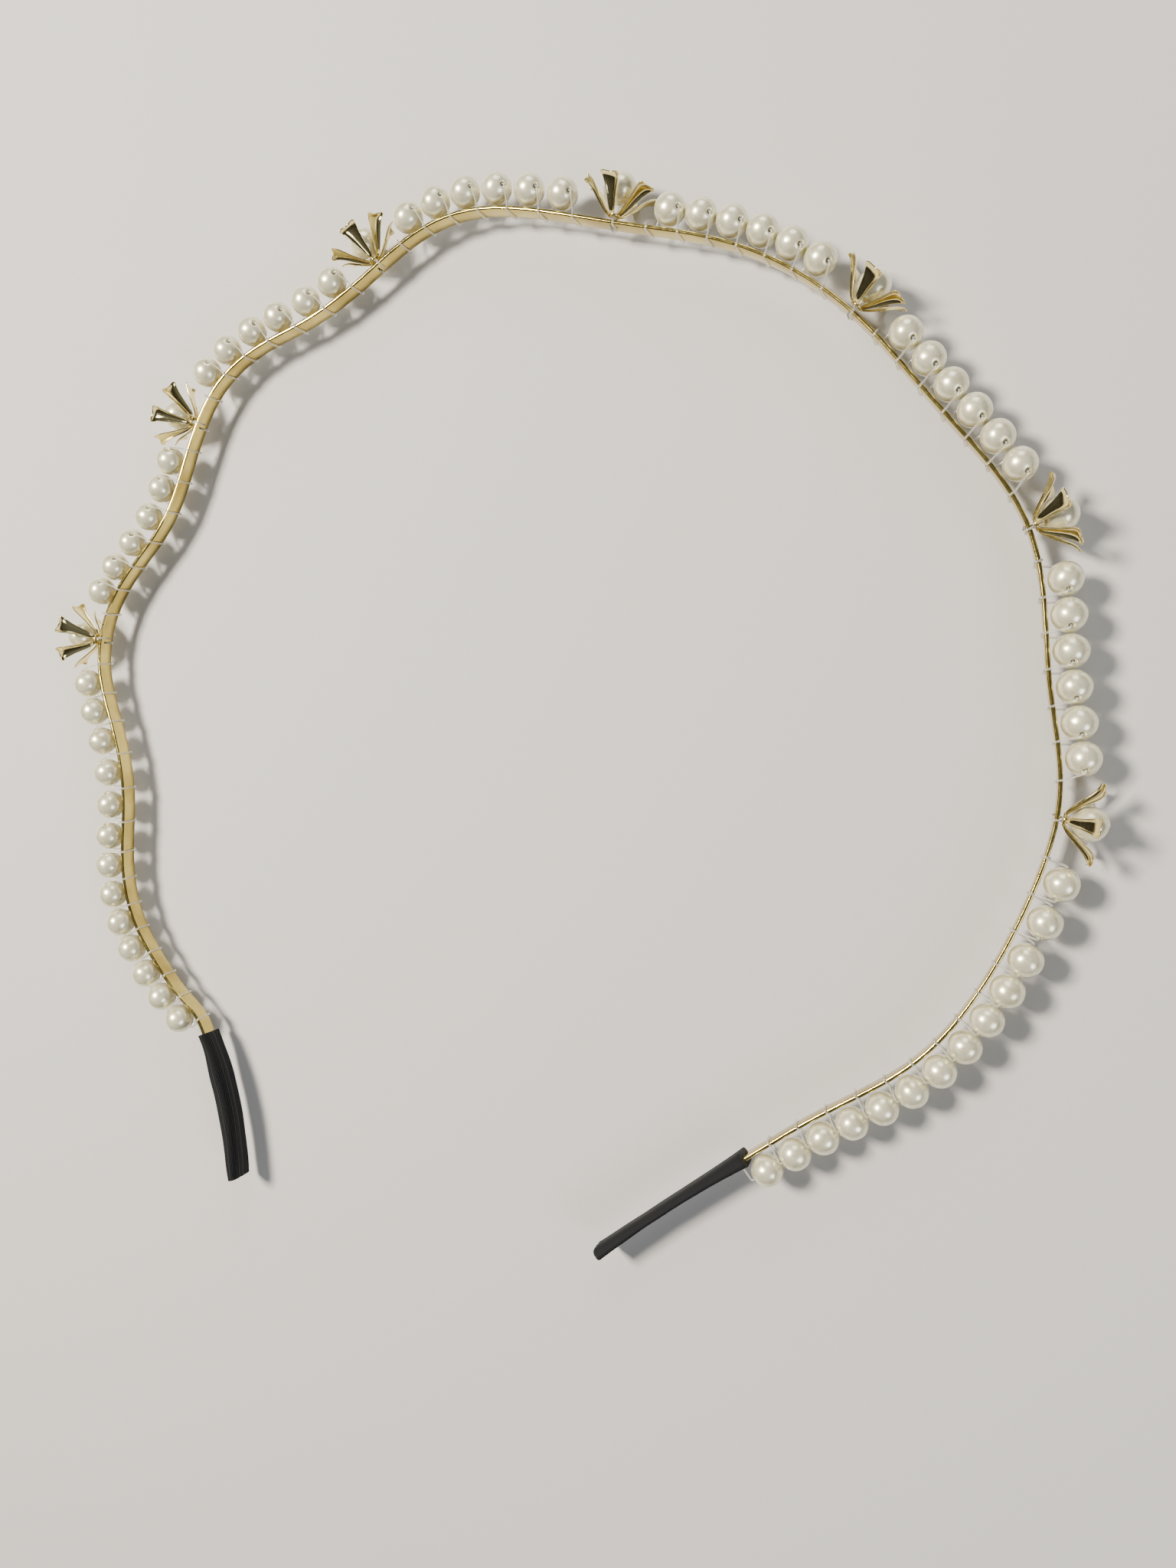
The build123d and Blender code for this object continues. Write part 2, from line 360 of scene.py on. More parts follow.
def finish_piece(
    name: str, shape: bmesh.types.BMesh, material: bpy.types.Material, body: str, replaced: str
) -> bpy.types.Object:
    """Turns a bmesh to a finished piece that stands for a CAD node.

    Args:
        name: the piece's name.
        shape: the piece's bmesh, which is freed.
        material: its finish.
        body: the CAD body that it rides on.
        replaced: the CAD node that it stands for.

    Returns:
        The piece's object.
    """
    bmesh.ops.recalc_face_normals(shape, faces=shape.faces)
    for face in shape.faces:
        face.smooth = True
    mesh = bpy.data.meshes.new(name)
    shape.to_mesh(mesh)
    shape.free()
    piece = bpy.data.objects.new(name, mesh)
    bpy.context.scene.collection.objects.link(piece)
    mesh.materials.append(material)
    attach(piece, body)
    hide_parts(replaced)
    LOG.info("%s: %d faces, stands for %s", name, len(mesh.polygons), replaced)
    return piece


def sweep(
    shape: bmesh.types.BMesh, outline: Sequence[tuple[float, float]], stations: Iterable[Matrix]
) -> list[list[bmesh.types.BMVert]]:
    """Extrudes a closed outline from station to station and closes both ends.

    Args:
        shape: the bmesh that takes the new faces.
        outline: the outline's points in each station's XY plane.
        stations: the frames that the outline passes through, each with its Z along the way.

    Returns:
        The ring of vertices at each station.
    """
    flat = [Vector((x, y, 0.0)) for x, y in outline]
    rings: list[list[bmesh.types.BMVert]] = []
    edges: list[bmesh.types.BMEdge] = []
    for station in stations:
        if not rings:
            ring = [shape.verts.new(station @ point) for point in flat]
            first = shape.faces.new(ring)
            edges = list(first.edges)
            rings.append(ring)
            continue
        grown = bmesh.ops.extrude_edge_only(shape, edges=edges)["geom"]
        new_edges = [g for g in grown if isinstance(g, bmesh.types.BMEdge)]
        fresh = {g for g in grown if isinstance(g, bmesh.types.BMVert)}
        ring = []
        for old in rings[-1]:
            ring.append(next(e.other_vert(old) for e in old.link_edges if e.other_vert(old) in fresh))
        for vert, point in zip(ring, flat):
            vert.co = station @ point
        edges = [e for e in new_edges if e.verts[0] in fresh and e.verts[1] in fresh]
        rings.append(ring)
    shape.faces.new(rings[-1])
    return rings


def frame_at(origin: Vector, along: Vector, sideways: Vector) -> Matrix:
    """The frame with Z along a way and X as near as possible to a side direction."""
    z_axis = along.normalized()
    x_axis = (sideways - z_axis * sideways.dot(z_axis)).normalized()
    y_axis = z_axis.cross(x_axis)
    matrix = Matrix((x_axis, y_axis, z_axis)).transposed().to_4x4()
    matrix.translation = origin
    return matrix


def circle(radius: float, sides: int) -> list[tuple[float, float]]:
    """The points of a circle."""
    turns = [2 * math.pi * i / sides for i in range(sides)]
    return [(radius * math.cos(a), radius * math.sin(a)) for a in turns]


def smooth_through(at: np.ndarray, knots: np.ndarray, wanted: np.ndarray) -> np.ndarray:
    """Reads a natural cubic curve through knots.

    Args:
        at: the knots' places, rising.
        knots: a row of values for each knot.
        wanted: the places to read the curve at.

    Returns:
        A row of values for each wanted place.
    """
    count = len(at)
    width = np.diff(at)
    system = np.eye(count)
    known = np.zeros_like(knots)
    for i in range(1, count - 1):
        system[i, i - 1] = width[i - 1] / 6
        system[i, i] = (width[i - 1] + width[i]) / 3
        system[i, i + 1] = width[i] / 6
        known[i] = (knots[i + 1] - knots[i]) / width[i] - (knots[i] - knots[i - 1]) / width[i - 1]
    bend = np.linalg.solve(system, known)
    span = np.clip(np.searchsorted(at, wanted, side="right") - 1, 0, count - 2)
    gap = width[span][:, None]
    high = (wanted - at[span])[:, None] / gap
    low = 1.0 - high
    straight = low * knots[span] + high * knots[span + 1]
    return straight + ((low**3 - low) * bend[span] + (high**3 - high) * bend[span + 1]) * gap**2 / 6


class SmoothLine:
    """A smooth curve in the XY plane through given points, measured by its length."""

    def __init__(self, points: Sequence[Vector], pace: float = 0.1 * MM) -> None:
        """Fits the curve.

        Args:
            points: the points that it passes through, in order.
            pace: how finely it is sampled.
        """
        knots = np.array([[p.x, p.y] for p in points])
        at = np.concatenate([[0.0], np.cumsum(np.linalg.norm(np.diff(knots, axis=0), axis=1))])
        self.points = smooth_through(at, knots, np.linspace(0.0, at[-1], int(at[-1] / pace) + 1))
        steps = np.linalg.norm(np.diff(self.points, axis=0), axis=1)
        self.at = np.concatenate([[0.0], np.cumsum(steps)])
        self.length = float(self.at[-1])
        self.tangents = np.gradient(self.points, self.at, axis=0)

    def point(self, distance: float) -> Vector:
        """The point at a distance along the curve."""
        x, y = (float(np.interp(distance, self.at, self.points[:, i])) for i in (0, 1))
        return Vector((x, y, 0.0))

    def tangent(self, distance: float) -> Vector:
        """The curve's direction at a distance along it."""
        x, y = (float(np.interp(distance, self.at, self.tangents[:, i])) for i in (0, 1))
        return Vector((x, y, 0.0)).normalized()

    def nearest(self, point: Vector) -> float:
        """The distance along the curve of its point nearest to a given one."""
        gaps = np.hypot(self.points[:, 0] - point.x, self.points[:, 1] - point.y)
        return float(self.at[int(gaps.argmin())])


@dataclass
class Course:
    """The strip's course, read from the CAD strip: its outer face, its height and its ends."""

    node: str = "strip"
    thickness: float = 0.6 * MM
    straight_gap: float = 3.0 * MM
    line: SmoothLine = field(init=False)
    middle_z: float = field(init=False)
    half_width: float = field(init=False)

    def __post_init__(self) -> None:
        """Traces the outer edge of the strip's upper face."""
        low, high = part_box(self.node)
        self.middle_z = (low.z + high.z) / 2
        self.half_width = (high.z - low.z) / 2
        chains = sorted(self._long_sides(), key=self._chain_length)
        outer = chains[-1]
        if outer[0].x > outer[-1].x:
            outer.reverse()
        self.line = SmoothLine(self._filled(outer))

    def _long_sides(self) -> list[list[Vector]]:
        """Splits the upper face's border at its four corners and returns its two long sides."""
        shape = bmesh.new()
        shape.from_mesh(frame["nodes"][self.node].data)
        bmesh.ops.remove_doubles(shape, verts=shape.verts, dist=WELD)
        top = {f for f in shape.faces if f.normal.z > 0.99}
        border = [e for e in shape.edges if sum(f in top for f in e.link_faces) == 1]
        neighbours: dict[bmesh.types.BMVert, list[bmesh.types.BMVert]] = {}
        for edge in border:
            first, second = edge.verts
            neighbours.setdefault(first, []).append(second)
            neighbours.setdefault(second, []).append(first)
        loop = [border[0].verts[0], neighbours[border[0].verts[0]][0]]
        while True:
            following = next(v for v in neighbours[loop[-1]] if v is not loop[-2])
            if following is loop[0]:
                break
            loop.append(following)
        points = [v.co.copy() for v in loop]
        shape.free()
        count = len(points)
        turns = [self._turn(points[i - 1], points[i], points[(i + 1) % count]) for i in range(count)]
        corners = sorted(sorted(range(count), key=lambda i: -turns[i])[:4])
        sides = []
        for start, end in zip(corners, corners[1:] + [corners[0] + count]):
            sides.append([points[i % count] for i in range(start, end + 1)])
        return sorted(sides, key=self._chain_length)[2:]

    @staticmethod
    def _turn(before: Vector, here: Vector, after: Vector) -> float:
        """How sharply a border turns at a point, in radians."""
        return (here - before).angle(after - here, 0.0)

    @staticmethod
    def _chain_length(chain: Sequence[Vector]) -> float:
        """The length of a chain of points."""
        return sum((b - a).length for a, b in zip(chain, chain[1:]))

    def _filled(self, chain: Sequence[Vector]) -> list[Vector]:
        """Adds points along the chain's long straight stretches, so that the curve keeps them straight."""
        filled = [chain[0]]
        for start, end in zip(chain, chain[1:]):
            pieces = max(1, int((end - start).length / self.straight_gap))
            filled += [start.lerp(end, i / pieces) for i in range(1, pieces + 1)]
        return filled

    @property
    def length(self) -> float:
        """The strip's length along its outer face."""
        return self.line.length

    def directions(self, distance: float) -> tuple[Vector, Vector]:
        """The strip's direction and its outward direction at a distance along it."""
        tangent = self.line.tangent(distance)
        return tangent, Vector((-tangent.y, tangent.x, 0.0))

    def spot(self, distance: float, out: float = 0.0, up: float = 0.0, along: float = 0.0) -> Vector:
        """The point of the strip's centre line at a distance, moved outwards, upwards and along.

        Args:
            distance: metres along the strip from its left tip.
            out: metres outwards from the centre line.
            up: metres above the middle of the strip's width.
            along: metres along the strip.

        Returns:
            The point in the headband's frame.
        """
        tangent, outwards = self.directions(distance)
        base = self.line.point(distance) + outwards * (out - self.thickness / 2) + tangent * along
        return Vector((base.x, base.y, self.middle_z + up))


def islands(node: str) -> list[Vector]:
    """The centre of each separate solid of a CAD node.

    Args:
        node: the node's name.

    Returns:
        The centres of the solids' boxes.
    """
    shape = bmesh.new()
    shape.from_mesh(frame["nodes"][node].data)
    bmesh.ops.remove_doubles(shape, verts=shape.verts, dist=WELD)
    left = set(shape.verts)
    centres = []
    while left:
        stack = [left.pop()]
        found = list(stack)
        while stack:
            for edge in stack.pop().link_edges:
                for vert in edge.verts:
                    if vert in left:
                        left.discard(vert)
                        stack.append(vert)
                        found.append(vert)
        places = np.array([v.co[:] for v in found])
        centres.append(Vector((places.min(0) + places.max(0)) / 2))
    shape.free()
    return centres


# --- Sub-assemblies -------------------------------------------------------------------------------


@dataclass
class Strip:
    """The springy metal strip on edge, with rolled edges."""

    course: Course
    finishes: Finishes
    edge_radius: float = 0.24 * MM
    edge_steps: int = 4
    pace: float = 0.9 * MM

    def outline(self) -> list[tuple[float, float]]:
        """The strip's section: a thin rectangle with rounded corners."""
        half_x = self.course.thickness / 2 - self.edge_radius
        half_y = self.course.half_width - self.edge_radius
        points = []
        for quarter, (sign_x, sign_y) in enumerate([(1, 1), (-1, 1), (-1, -1), (1, -1)]):
            for i in range(self.edge_steps + 1):
                angle = math.pi / 2 * (quarter + i / self.edge_steps)
                x = sign_x * half_x + self.edge_radius * math.cos(angle)
                y = sign_y * half_y + self.edge_radius * math.sin(angle)
                points.append((x, y))
        return points

    def build(self) -> None:
        """Sweeps the section along the course."""
        shape = bmesh.new()
        count = int(self.course.length / self.pace)
        stations = []
        for i in range(count + 1):
            distance = self.course.length * i / count
            tangent, outwards = self.course.directions(distance)
            stations.append(frame_at(self.course.spot(distance), tangent, outwards))
        sweep(shape, self.outline(), stations)
        finish_piece("gold_strip", shape, self.finishes.strip, "headband", "strip")


@dataclass
class PearlMaker:
    """Turns drilled pearls on a spinning section, each a little out of round."""

    finishes: Finishes
    radius: float = 2.25 * MM
    bore: float = 0.24 * MM
    rim: float = 0.34 * MM
    steps_round: int = 40
    steps_over: int = 30
    lip_points: int = 4
    lip_turn: float = 0.45 * math.pi
    out_of_round: float = 0.035 * MM
    swell_size: float = 2.0 * MM
    most_squeeze: float = 0.015
    noise_span: float = 50.0

    def section(self) -> list[Vector]:
        """Half of a drilled pearl's section: up inside the bore, round the lip and down the outside."""
        lip = math.asin((self.bore + self.rim) / self.radius)
        top = self.radius * math.cos(lip)
        wall = [Vector((self.bore, 0.0, z * top)) for z in (-0.5, 0.0, 0.5)]
        corner_z = top - self.rim
        lips = []
        for i in range(self.lip_points):
            angle = math.pi - self.lip_turn * i / (self.lip_points - 1)
            across = self.bore + self.rim + self.rim * math.cos(angle)
            lips.append(Vector((across, 0.0, corner_z + self.rim * math.sin(angle))))
        outside = []
        for i in range(self.steps_over + 1):
            angle = lip + (math.pi - 2 * lip) * i / self.steps_over
            outside.append(Vector((self.radius * math.sin(angle), 0.0, self.radius * math.cos(angle))))
        under = [Vector((p.x, 0.0, -p.z)) for p in reversed(lips)]
        return wall + lips + outside + under

    def add(self, shape: bmesh.types.BMesh, centre: Vector, bore_way: Vector, seed: int) -> None:
        """Adds one pearl.

        Args:
            shape: the bmesh that takes it.
            centre: the pearl's centre.
            bore_way: the direction of its bore.
            seed: the number that its unevenness comes from.
        """
        chance = random.Random(seed)
        verts = [shape.verts.new(point) for point in self.section()]
        edges = [shape.edges.new(pair) for pair in zip(verts, verts[1:] + verts[:1])]
        bmesh.ops.spin(
            shape,
            geom=[*verts, *edges],
            cent=(0.0, 0.0, 0.0),
            axis=(0.0, 0.0, 1.0),
            angle=2 * math.pi,
            steps=self.steps_round,
            use_merge=True,
        )
        new_verts = [v for v in shape.verts if v.tag is False]
        drift = Vector([chance.uniform(-self.noise_span, self.noise_span) for _ in range(3)])
        squeeze = 1 - chance.uniform(0.0, self.most_squeeze)
        turn = frame_at(centre, bore_way, Vector((0.3, 0.2, 1.0))) @ Matrix.Rotation(
            chance.uniform(0, 2 * math.pi), 4, "Z"
        )
        for vert in new_verts:
            swell = noise.noise(vert.co / self.swell_size + drift) * self.out_of_round
            away = vert.co.normalized()
            vert.co = vert.co * squeeze + away * swell
            vert.co = turn @ vert.co
            vert.tag = True


@dataclass
class PearlRows:
    """The runs of pearls along the strip, each drilled slantwise so that its bore rises along it."""

    course: Course
    maker: PearlMaker
    crown_slant: float = math.radians(45.0)
    arm_slant: float = math.radians(25.0)
    seeds_per_run: int = 100
    centres: dict[str, list[Vector]] = field(default_factory=dict)

    def bore_way(self, run: str, centre: Vector) -> Vector:
        """The direction of the bore of the pearl at a place in a run."""
        tangent, _ = self.course.directions(self.course.line.nearest(centre))
        slant = self.arm_slant if run.endswith("arm") else self.crown_slant
        return tangent * math.cos(slant) + UP * math.sin(slant)

    def build(self) -> None:
        """Builds a piece for each CAD run."""
        for node in sorted(n for n in frame["nodes"] if n.startswith("pearls_")):
            centres = sorted(islands(node), key=self.course.line.nearest)
            run = node.removeprefix("pearls_")
            self.centres[run] = centres
            shape = bmesh.new()
            for index, centre in enumerate(centres):
                seed = self.seeds_per_run * len(self.centres) + index
                self.maker.add(shape, centre, self.bore_way(run, centre), seed)
            finish_piece(f"row_pearls_{run}", shape, self.maker.finishes.pearl, "headband", node)


@dataclass
class Threads:
    """The nylon thread: through each pearl and once round the strip in every gap."""

    course: Course
    rows: PearlRows
    finishes: Finishes
    radius: float = 0.14 * MM
    gap: float = 0.06 * MM
    corner: float = 0.35 * MM
    corner_share: float = 0.45
    corner_steps: int = 5
    # How far each corner of a wrap is along the strip.
    wrap_steps: tuple[float, float, float, float] = (-0.1 * MM, 0.0, 0.25 * MM, 0.35 * MM)
    pearl_reach: float = 2.55 * MM
    wrap_lead: float = 0.15 * MM
    end_wrap: float = 2.6 * MM
    sides: int = 10

    @property
    def wrap_out(self) -> float:
        """How far the thread's middle stands from the strip's centre line."""
        return self.course.thickness / 2 + self.gap + self.radius

    @property
    def wrap_up(self) -> float:
        """How far the thread's middle stands above or below the strip's middle."""
        return self.course.half_width + self.gap + self.radius

    def wrap(self, distance: float) -> list[Vector]:
        """One turn round the strip."""
        sides = ((1, 1), (-1, 1), (-1, -1), (1, -1))
        return [
            self.course.spot(distance, out * self.wrap_out, up * self.wrap_up, along)
            for (out, up), along in zip(sides, self.wrap_steps)
        ]

    def through(self, run: str, centre: Vector) -> list[Vector]:
        """The way through a pearl, from under its near side to above its far side."""
        reach = self.rows.bore_way(run, centre) * self.pearl_reach
        return [centre - reach, centre + reach]

    def rounded(self, route: Sequence[Vector]) -> list[Vector]:
        """Rounds a route's corners with short arcs.

        Args:
            route: the route's points.

        Returns:
            The points of the rounded route.
        """
        points = [route[0]]
        for before, here, after in zip(route, route[1:], route[2:]):
            arriving, leaving = (before - here), (after - here)
            half = arriving.angle(leaving) / 2
            room = self.corner_share * min(arriving.length, leaving.length)
            cut = min(self.corner / math.tan(half), room)
            start = here + arriving.normalized() * cut
            end = here + leaving.normalized() * cut
            for i in range(self.corner_steps + 1):
                share = i / self.corner_steps
                points.append(start.lerp(here, share).lerp(here.lerp(end, share), share))
        points.append(route[-1])
        return points

    def tube(self, route: Sequence[Vector]) -> bmesh.types.BMesh:
        """Sweeps the thread's round section along a route."""
        shape = bmesh.new()
        points = self.rounded(route)
        side = Vector((0.31, 0.17, 0.93))
        stations = []
        for index, point in enumerate(points):
            ahead = points[min(index + 1, len(points) - 1)]
            behind = points[max(index - 1, 0)]
            along = (ahead - behind).normalized()
            side = (side - along * side.dot(along)).normalized()
            stations.append(frame_at(point, along, side))
        sweep(shape, circle(self.radius, self.sides), stations)
        return shape

    def build(self) -> None:
        """Builds a piece for each run's thread."""
        for run, centres in self.rows.centres.items():
            places = [self.course.line.nearest(c) for c in centres]
            last = places[-1] + self.end_wrap
            route = self.wrap(places[0] - self.end_wrap)
            for centre, here, following in zip(centres, places, [*places[1:], 2 * last]):
                route += self.through(run, centre)
                route += self.wrap(min((here + following) / 2 - self.wrap_lead, last))
            node = f"thread_{run}"
            tube = self.tube(route)
            finish_piece(f"nylon_{run}", tube, self.finishes.thread, "headband", node)


@dataclass
class Flower:
    """One flower: a stamped cup of six channelled petals, its pearl and the thread that ties it."""

    number: int
    turn: float
    course: Course
    maker: PearlMaker
    threads: Threads
    finishes: Finishes
    petals: int = 6
    hub_radius: float = 0.95 * MM
    hub_hole: float = 0.34 * MM
    hub_thickness: float = 0.35 * MM
    hub_rise: float = 0.2 * MM
    hub_soft: float = 0.1 * MM
    hub_steps: int = 36
    sheet: float = 0.17 * MM
    rim: float = 0.36 * MM
    curl: float = 0.42 * MM
    curl_start: float = 0.82
    notch: float = 0.06
    corner_drop: float = 0.06
    root_fold: float = 0.5
    slope_step: float = 0.02
    most_short: float = 0.02
    width_range: tuple[float, float] = (0.94, 1.03)
    bend_range: tuple[float, float] = (-0.1 * MM, 0.15 * MM)
    most_lean: float = 2.5
    # The tie's half spread at the hub, how much more it spreads behind the strip and how far its ends stop
    # from the strip's middle; then its clearance from the pearl, its overshoot at the bore and its way round
    # the pearl in degrees.
    tie_side: float = 0.2 * MM
    tie_spread: float = 0.1 * MM
    tie_end: float = 0.4 * MM
    tie_clearance: float = 0.08 * MM
    tie_overshoot: float = 0.12 * MM
    tie_angles: tuple[int, ...] = (80, 64, 48, 32, 16)
    steps_long: int = 18
    steps_wide: int = 12
    # Each knot of a petal: its share of the length, and its radius, height and half width in millimetres.
    spine: tuple[tuple[float, float, float, float], ...] = (
        (0.0, 0.4, -0.05, 0.32),
        (0.12, 1.0, 0.2, 0.42),
        (0.32, 1.85, 1.0, 0.62),
        (0.55, 2.95, 2.25, 0.85),
        (0.78, 4.05, 3.4, 1.2),
        (1.0, 5.3, 4.25, 1.6),
    )

    @property
    def joint(self) -> dict:
        """The hinge that the cup turns on."""
        return next(j for j in frame["joints"] if j["child"] == f"flower_{self.number}")

    def cup_frame(self) -> Matrix:
        """The cup's own frame: Z outwards from the strip and X along the strip, then turned."""
        outwards = Vector(self.joint["axis"])
        along = Vector((outwards.y, -outwards.x, 0.0))
        placed = frame_at(Vector(self.joint["pos_m"]), outwards, along)
        return placed @ Matrix.Rotation(self.turn, 4, "Z")

    def petal_point(self, share: float, across: float, chance: dict[str, float]) -> Vector:
        """A point of a petal's sheet.

        Args:
            share: 0 at the hub to 1 at the tip.
            across: -1 to 1 from one rim to the other.
            chance: how this petal differs from the others.

        Returns:
            The point, with the petal lying along +X.
        """
        dip = self.notch * (1 - across**2) ** 2 + self.corner_drop * across**8
        share *= 1 - dip * share**3 + chance["length"]
        knots = np.array(self.spine)
        wanted = np.array([share, share + self.slope_step])
        here, ahead = smooth_through(knots[:, 0], knots[:, 1:] * MM, wanted)
        slope = math.atan2(ahead[1] - here[1], ahead[0] - here[0])
        back = Vector((math.sin(slope), 0.0, -math.cos(slope)))
        fold = self.rim * abs(across) ** 3 * min(1.0, self.root_fold + share)
        lip = self.curl * max(0.0, (share - self.curl_start) / (1 - self.curl_start)) ** 2
        width = here[2] * across * chance["width"]
        point = Vector((here[0], width, here[1])) + back * (fold + lip)
        bend = chance["bend"] * share**2
        return point + Vector((-bend, 0.0, bend))

    def build_cup(self) -> None:
        """Builds the hub and petals."""
        shape = bmesh.new()
        self._add_hub(shape)
        for index in range(self.petals):
            self._add_petal(shape, index)
        bmesh.ops.transform(shape, matrix=self.cup_frame(), verts=shape.verts)
        body = f"flower_{self.number}"
        node = f"flower_cup_{self.number}"
        piece = finish_piece(f"cup_{self.number}", shape, self.finishes.cup, body, node)
        soft = piece.modifiers.new("softened_edges", "SUBSURF")
        soft.levels = soft.render_levels = 1

    def _add_hub(self, shape: bmesh.types.BMesh) -> None:
        """Adds the drilled hub, turned from its section."""
        soft = self.hub_soft
        section = [
            (self.hub_hole, soft),
            (self.hub_hole + soft, 0.0),
            (self.hub_radius - soft, 0.0),
            (self.hub_radius, soft),
            (self.hub_radius, self.hub_thickness - soft),
            (self.hub_radius - soft, self.hub_thickness),
            (self.hub_hole + soft, self.hub_thickness + self.hub_rise),
            (self.hub_hole, self.hub_thickness),
        ]
        verts = [shape.verts.new((x, 0.0, z)) for x, z in section]
        edges = [shape.edges.new(pair) for pair in zip(verts, verts[1:] + verts[:1])]
        bmesh.ops.spin(
            shape,
            geom=[*verts, *edges],
            cent=(0.0, 0.0, 0.0),
            axis=(0.0, 0.0, 1.0),
            angle=2 * math.pi,
            steps=self.hub_steps,
            use_merge=True,
        )

    def _add_petal(self, shape: bmesh.types.BMesh, index: int) -> None:
        """Adds one petal: a flat grid bent to its channel and thickened."""
        chance_source = random.Random(31 * self.number + index)
        chance = {
            "length": chance_source.uniform(-self.most_short, 0.0),
            "width": chance_source.uniform(*self.width_range),
            "bend": chance_source.uniform(*self.bend_range),
        }
        petal = bmesh.new()
        bmesh.ops.create_grid(petal, x_segments=self.steps_long, y_segments=self.steps_wide, size=1.0)
        for vert in petal.verts:
            lift = Vector((0.0, 0.0, self.hub_thickness))
            vert.co = self.petal_point((vert.co.x + 1) / 2, vert.co.y, chance) + lift
        bmesh.ops.recalc_face_normals(petal, faces=petal.faces)
        bmesh.ops.solidify(petal, geom=petal.faces[:], thickness=self.sheet)
        lean = math.radians(chance_source.uniform(-self.most_lean, self.most_lean))
        turn = Matrix.Rotation(index * 2 * math.pi / self.petals + lean, 4, "Z")
        bmesh.ops.transform(petal, matrix=turn, verts=petal.verts)
        sheet = bpy.data.meshes.new("petal")
        petal.to_mesh(sheet)
        petal.free()
        shape.from_mesh(sheet)
        bpy.data.meshes.remove(sheet)

    def build_pearl(self) -> None:
        """Builds the pearl, drilled crosswise along the strip."""
        node = f"flower_pearl_{self.number}"
        low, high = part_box(node)
        outwards = Vector(self.joint["axis"])
        along = Vector((outwards.y, -outwards.x, 0.0))
        shape = bmesh.new()
        self.maker.add(shape, (low + high) / 2, along, seed=900 + self.number)
        finish_piece(f"centre_pearl_{self.number}", shape, self.finishes.pearl, "headband", node)

    def build_tie(self) -> None:
        """Builds the thread that goes round the strip, up the hub's hole and through the pearl."""
        low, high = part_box(f"flower_pearl_{self.number}")
        centre = (low + high) / 2
        outwards = Vector(self.joint["axis"])
        along = Vector((outwards.y, -outwards.x, 0.0))
        distance = self.course.line.nearest(centre)
        clear = self.maker.radius + self.threads.radius + self.tie_clearance
        reach = clear + self.tie_overshoot
        side, wide = self.tie_side, self.tie_side + self.tie_spread
        widest = wide + self.tie_spread
        row = centre.z - self.course.middle_z
        out, up = self.threads.wrap_out, self.threads.wrap_up
        spot = self.course.spot

        def beside(angle: float, way: int) -> Vector:
            """A point beside the pearl, at an angle under its middle."""
            lean = math.radians(angle)
            return centre - outwards * clear * math.sin(lean) + along * way * clear * math.cos(lean)

        rising = [spot(distance, -out, -self.tie_end, widest), spot(distance, -out, up, wide)]
        rising += [spot(distance, out, up, side), spot(distance, out, row, side)]
        rising += [beside(angle, 1) for angle in self.tie_angles] + [centre + along * reach]
        falling = [centre - along * reach] + [beside(angle, -1) for angle in reversed(self.tie_angles)]
        falling += [spot(distance, out, row, -side), spot(distance, out, -up, -side)]
        falling += [spot(distance, -out, -up, -wide), spot(distance, -out, self.tie_end, -widest)]
        shape = self.threads.tube(rising + falling)
        node = f"flower_tie_{self.number}"
        finish_piece(f"tie_{self.number}", shape, self.finishes.thread, "headband", node)

    def build(self) -> None:
        """Builds the whole flower."""
        self.build_cup()
        self.build_pearl()
        self.build_tie()


@dataclass(frozen=True)
class SleeveForm:
    """How one sleeve lies: its length, how far it bows, and how its thickness changes along it."""

    length: float
    bulge: float
    fullness: float
    plumpness: float
    mouth_flare: float
    mouth_power: int
    unevenness_place: float


LEFT_FORM = SleeveForm(23.5 * MM, 0.8 * MM, 1.0, 0.45, -0.12, 6, 3.0)
RIGHT_FORM = SleeveForm(26.5 * MM, 0.15 * MM, 1.15, -0.3, 0.25, 8, 8.0)


